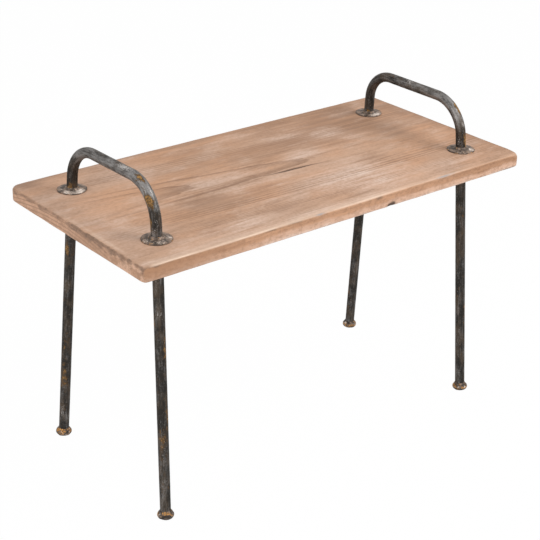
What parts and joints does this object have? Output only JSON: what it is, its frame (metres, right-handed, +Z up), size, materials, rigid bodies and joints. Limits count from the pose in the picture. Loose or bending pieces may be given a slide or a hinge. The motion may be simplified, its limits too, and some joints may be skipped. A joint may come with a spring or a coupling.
{
  "type": "tray table",
  "caption": "Low tray table: a thick wooden board with bent steel tube handles on top and splayed steel legs that screw on from below.",
  "frame": {"origin": "on the floor, under the middle of the board", "axes": "+Z up, +X along the board's length towards the right-hand handle, +Y to the back"},
  "size_m": [0.711, 0.343, 0.5045],
  "materials": {
    "board_wood": "dry, lightly whitewashed",
    "dark_steel": "dark, hammered, rusted in patches",
    "worn_steel": "worn, with rust and weld marks",
    "plated_steel": "zinc plated"
  },
  "bodies": {
    "tray": {"tray_board": "board_wood", "left_handle": "dark_steel", "right_handle": "dark_steel", "handle_washer_front_left": "worn_steel", "handle_plug_front_left": "plated_steel", "stud_front_left": "plated_steel", "handle_washer_front_right": "worn_steel", "handle_plug_front_right": "plated_steel", "stud_front_right": "plated_steel", "handle_washer_back_left": "worn_steel", "handle_plug_back_left": "plated_steel", "stud_back_left": "plated_steel", "handle_washer_back_right": "worn_steel", "handle_plug_back_right": "plated_steel", "stud_back_right": "plated_steel"},
    "front_left_washer": {"under_washer_front_left": "plated_steel"},
    "front_left_leg": {"leg_front_left": "dark_steel", "leg_bush_front_left": "plated_steel", "foot_front_left": "worn_steel"},
    "front_right_washer": {"under_washer_front_right": "plated_steel"},
    "front_right_leg": {"leg_front_right": "dark_steel", "leg_bush_front_right": "plated_steel", "foot_front_right": "worn_steel"},
    "back_left_washer": {"under_washer_back_left": "plated_steel"},
    "back_left_leg": {"leg_back_left": "dark_steel", "leg_bush_back_left": "plated_steel", "foot_back_left": "worn_steel"},
    "back_right_washer": {"under_washer_back_right": "plated_steel"},
    "back_right_leg": {"leg_back_right": "dark_steel", "leg_bush_back_right": "plated_steel", "foot_back_right": "worn_steel"}
  },
  "joints": [
    {"name": "front_left_leg_drop", "type": "slide", "parent": "tray", "child": "front_left_washer", "axis": [-0.0331, -0.0785, -0.9964], "range_m": [0, 0.02]},
    {"name": "front_left_leg_unscrew", "type": "hinge", "parent": "front_left_washer", "child": "front_left_leg", "pos_m": [-0.2895, -0.1065, 0.422], "axis": [-0.0331, -0.0785, -0.9964], "range_deg": [0, 5760]},
    {"name": "front_right_leg_drop", "type": "slide", "parent": "tray", "child": "front_right_washer", "axis": [0.0331, -0.0785, -0.9964], "range_m": [0, 0.02]},
    {"name": "front_right_leg_unscrew", "type": "hinge", "parent": "front_right_washer", "child": "front_right_leg", "pos_m": [0.2895, -0.1065, 0.422], "axis": [0.0331, -0.0785, -0.9964], "range_deg": [0, 5760]},
    {"name": "back_left_leg_drop", "type": "slide", "parent": "tray", "child": "back_left_washer", "axis": [-0.0331, 0.0785, -0.9964], "range_m": [0, 0.02]},
    {"name": "back_left_leg_unscrew", "type": "hinge", "parent": "back_left_washer", "child": "back_left_leg", "pos_m": [-0.2895, 0.1065, 0.422], "axis": [-0.0331, 0.0785, -0.9964], "range_deg": [0, 5760]},
    {"name": "back_right_leg_drop", "type": "slide", "parent": "tray", "child": "back_right_washer", "axis": [0.0331, 0.0785, -0.9964], "range_m": [0, 0.02]},
    {"name": "back_right_leg_unscrew", "type": "hinge", "parent": "back_right_washer", "child": "back_right_leg", "pos_m": [0.2895, 0.1065, 0.422], "axis": [0.0331, 0.0785, -0.9964], "range_deg": [0, 5760]}
  ],
  "couplings": [
    {"joint": "front_left_leg_unscrew", "follows": "front_left_leg_drop", "rad_per_m": 5026.5},
    {"joint": "front_right_leg_unscrew", "follows": "front_right_leg_drop", "rad_per_m": 5026.5},
    {"joint": "back_left_leg_unscrew", "follows": "back_left_leg_drop", "rad_per_m": 5026.5},
    {"joint": "back_right_leg_unscrew", "follows": "back_right_leg_drop", "rad_per_m": 5026.5}
  ]
}
